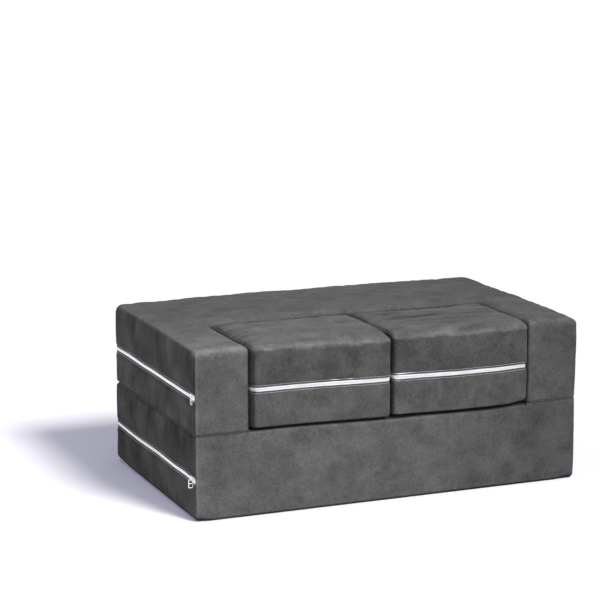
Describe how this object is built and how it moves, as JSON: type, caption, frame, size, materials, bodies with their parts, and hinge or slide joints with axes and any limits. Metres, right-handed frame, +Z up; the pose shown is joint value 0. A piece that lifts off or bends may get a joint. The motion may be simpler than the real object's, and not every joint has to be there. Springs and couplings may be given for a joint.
{
  "type": "childrens sofa bed",
  "caption": "Stacked foam play sofa: a base, a U-shaped back and arms sewn to its front edge that folds out into a bed, and lift-out ottomans nested in the recess.",
  "frame": {"origin": "on the floor, under the middle of the base block's length and depth", "axes": "+X along the length, -Y is the front where the fabric hinge is, +Z up"},
  "size_m": [1.0276, 0.6165, 0.4215],
  "materials": {
    "cover_fabric": "charcoal microsuede with a mottled nap",
    "hinge_fabric": "woven charcoal strip",
    "foam": "open-cell polyurethane foam",
    "zipper_tape": "white woven tape",
    "zipper_coil": "white nylon",
    "zipper_metal": "white enamel"
  },
  "bodies": {
    "base": {"base_foam_core": "foam", "base_cover_top_panel": "cover_fabric", "base_cover_side_band": "cover_fabric", "base_cover_bottom_panel": "cover_fabric", "base_zipper_upper_tape": "zipper_tape", "base_zipper_lower_tape": "zipper_tape", "base_zipper_upper_coil": "zipper_coil", "base_zipper_lower_coil": "zipper_coil", "base_zipper_end_stops": "zipper_metal", "left_hinge_strip": "hinge_fabric", "right_hinge_strip": "hinge_fabric"},
    "base_slider": {"base_zipper_slider": "zipper_metal"},
    "base_pull": {"base_zipper_pull": "zipper_metal"},
    "top_section": {"back_foam_block": "foam", "left_arm_foam_block": "foam", "right_arm_foam_block": "foam", "top_cover_top_panel": "cover_fabric", "top_cover_side_band": "cover_fabric", "top_cover_bottom_panel": "cover_fabric", "top_zipper_upper_tape": "zipper_tape", "top_zipper_lower_tape": "zipper_tape", "top_zipper_upper_coil": "zipper_coil", "top_zipper_lower_coil": "zipper_coil", "top_zipper_end_stops": "zipper_metal"},
    "top_slider": {"top_zipper_slider": "zipper_metal"},
    "top_pull": {"top_zipper_pull": "zipper_metal"},
    "left_ottoman": {"left_ottoman_foam_core": "foam", "left_ottoman_cover_top_panel": "cover_fabric", "left_ottoman_cover_side_band": "cover_fabric", "left_ottoman_cover_bottom_panel": "cover_fabric", "left_ottoman_zipper_upper_tape": "zipper_tape", "left_ottoman_zipper_lower_tape": "zipper_tape", "left_ottoman_zipper_upper_coil": "zipper_coil", "left_ottoman_zipper_lower_coil": "zipper_coil", "left_ottoman_zipper_end_stops": "zipper_metal"},
    "left_ottoman_slider": {"left_ottoman_zipper_slider": "zipper_metal"},
    "left_ottoman_pull": {"left_ottoman_zipper_pull": "zipper_metal"},
    "right_ottoman": {"right_ottoman_foam_core": "foam", "right_ottoman_cover_top_panel": "cover_fabric", "right_ottoman_cover_side_band": "cover_fabric", "right_ottoman_cover_bottom_panel": "cover_fabric", "right_ottoman_zipper_upper_tape": "zipper_tape", "right_ottoman_zipper_lower_tape": "zipper_tape", "right_ottoman_zipper_upper_coil": "zipper_coil", "right_ottoman_zipper_lower_coil": "zipper_coil", "right_ottoman_zipper_end_stops": "zipper_metal"},
    "right_ottoman_slider": {"right_ottoman_zipper_slider": "zipper_metal"},
    "right_ottoman_pull": {"right_ottoman_zipper_pull": "zipper_metal"}
  },
  "joints": [
    {"name": "fold_out", "type": "hinge", "parent": "base", "child": "top_section", "pos_m": [0, -0.3081, 0.21095], "axis": [1, 0, 0], "range_deg": [0, 180], "deforming": ["left_hinge_strip", "right_hinge_strip"]},
    {"name": "left_ottoman_lift", "type": "slide", "parent": "top_section", "child": "left_ottoman", "axis": [0, 0, 1], "range_m": [0, 0.26]},
    {"name": "right_ottoman_lift", "type": "slide", "parent": "top_section", "child": "right_ottoman", "axis": [0, 0, 1], "range_m": [0, 0.26]},
    {"name": "base_slider_run", "type": "slide", "parent": "base", "child": "base_slider", "axis": [0, 1, 0], "range_m": [0, 0.56]},
    {"name": "base_pull_swing", "type": "hinge", "parent": "base_slider", "child": "base_pull", "pos_m": [-0.5108, -0.2919, 0.1008], "axis": [0, 1, 0], "range_deg": [0, 90]},
    {"name": "top_slider_run", "type": "slide", "parent": "top_section", "child": "top_slider", "axis": [0, 1, 0], "range_m": [0, 0.56]},
    {"name": "top_pull_swing", "type": "hinge", "parent": "top_slider", "child": "top_pull", "pos_m": [-0.50875, -0.2868, 0.30088], "axis": [1, 0, 0], "range_deg": [-40, 85]},
    {"name": "left_ottoman_slider_run", "type": "slide", "parent": "left_ottoman", "child": "left_ottoman_slider", "axis": [0, -1, 0], "range_m": [0, 0.205]},
    {"name": "left_ottoman_pull_swing", "type": "hinge", "parent": "left_ottoman_slider", "child": "left_ottoman_pull", "pos_m": [-0.36475, -0.0757, 0.30808], "axis": [1, 0, 0], "range_deg": [-85, 40]},
    {"name": "right_ottoman_slider_run", "type": "slide", "parent": "right_ottoman", "child": "right_ottoman_slider", "axis": [0, -1, 0], "range_m": [0, 0.205]},
    {"name": "right_ottoman_pull_swing", "type": "hinge", "parent": "right_ottoman_slider", "child": "right_ottoman_pull", "pos_m": [0.0045, -0.0757, 0.30808], "axis": [1, 0, 0], "range_deg": [-85, 40]}
  ]
}
